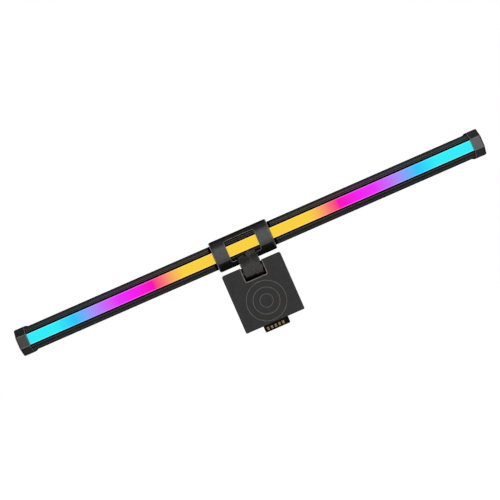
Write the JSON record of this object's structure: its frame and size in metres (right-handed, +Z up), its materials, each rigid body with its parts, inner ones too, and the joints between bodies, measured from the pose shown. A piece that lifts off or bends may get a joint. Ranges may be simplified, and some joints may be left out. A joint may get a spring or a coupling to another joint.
{
  "type": "monitor light bar",
  "caption": "Screen-top light bar: octagonal bar with a coloured rear light strip, turning in a collar on a hooked clamp with a hinged counterweight.",
  "frame": {"origin": "underside of the saddle pad that rests on the screen's top edge, below the bar's axis", "axes": "+X along the bar, -Y away from the user (light strip and counterweight), +Z up"},
  "size_m": [0.45, 0.0368, 0.0932],
  "materials": {
    "housing_black": "satin moulded shell, semi-matt",
    "cap_black": "satin moulded cap with light edge wear",
    "strip_light": "backlit translucent strip, yellow in the middle to pink, violet, blue and cyan at the ends",
    "board_white": "white solder mask",
    "led_white": "LED package",
    "spine_metal": "mill finish extrusion",
    "task_lens": "frosted diffuser",
    "led_amber": "phosphor LED package",
    "board_green": "green solder mask",
    "chip_black": "moulded component",
    "touch_gloss": "gloss black touch window",
    "screw_steel": "zinc plated",
    "lead_red": "insulated wire",
    "collar_black": "satin moulded collar",
    "liner_grey": "low friction liner",
    "neck_black": "fine texture moulding",
    "bush_black": "turned acetal bush",
    "strap_metal": "black powder coat",
    "pad_rubber": "silicone, matt",
    "plate_grey": "fine spark texture, dark grey",
    "weight_metal": "sawn and tumbled steel",
    "pin_steel": "black oxide on a ground pin",
    "ring_ink": "thin warm grey printed lines",
    "port_black": "pitch black moulding",
    "mark_gold": "gold foil marks",
    "usb_steel": "plated shell",
    "lead_black": "insulated wire"
  },
  "bodies": {
    "clamp": {"collar": "collar_black", "collar_liners": "liner_grey", "neck_left_shell": "neck_black", "neck_right_shell": "neck_black", "neck_screws": "screw_steel", "hinge_bushes": "bush_black", "hook_strap": "strap_metal", "strap_rivets": "screw_steel", "saddle_pad": "pad_rubber", "lip_pad": "pad_rubber"},
    "light_bar": {"rear_housing": "housing_black", "front_housing": "housing_black", "end_cap_left": "cap_black", "end_cap_right": "cap_black", "rgb_diffuser": "strip_light", "rgb_led_board": "board_white", "rgb_leds": "led_white", "heat_spine": "spine_metal", "task_diffuser": "task_lens", "task_led_board": "board_white", "task_leds": "led_amber", "driver_board": "board_green", "driver_chips": "chip_black", "touch_panel": "touch_gloss", "touch_board": "board_green", "board_screws": "screw_steel", "bar_leads": "lead_red"},
    "counterweight": {"rear_cover": "plate_grey", "inner_cover": "plate_grey", "cover_screws": "screw_steel", "weight_block": "weight_metal", "back_pad": "pad_rubber", "hinge_pin": "pin_steel", "emblem_rings": "ring_ink", "port_block": "port_black", "port_marks": "mark_gold", "usb_shell": "usb_steel", "usb_contacts": "chip_black", "usb_board": "board_green", "port_lead": "lead_black"}
  },
  "joints": [
    {"name": "bar_tilt", "type": "hinge", "parent": "clamp", "child": "light_bar", "pos_m": [0, 0, 0.0185], "axis": [1, 0, 0], "range_deg": [-25, 25]},
    {"name": "counterweight_hinge", "type": "hinge", "parent": "clamp", "child": "counterweight", "pos_m": [0, -0.0135, -0.0047], "axis": [-1, 0, 0], "range_deg": [-30, 90]}
  ]
}
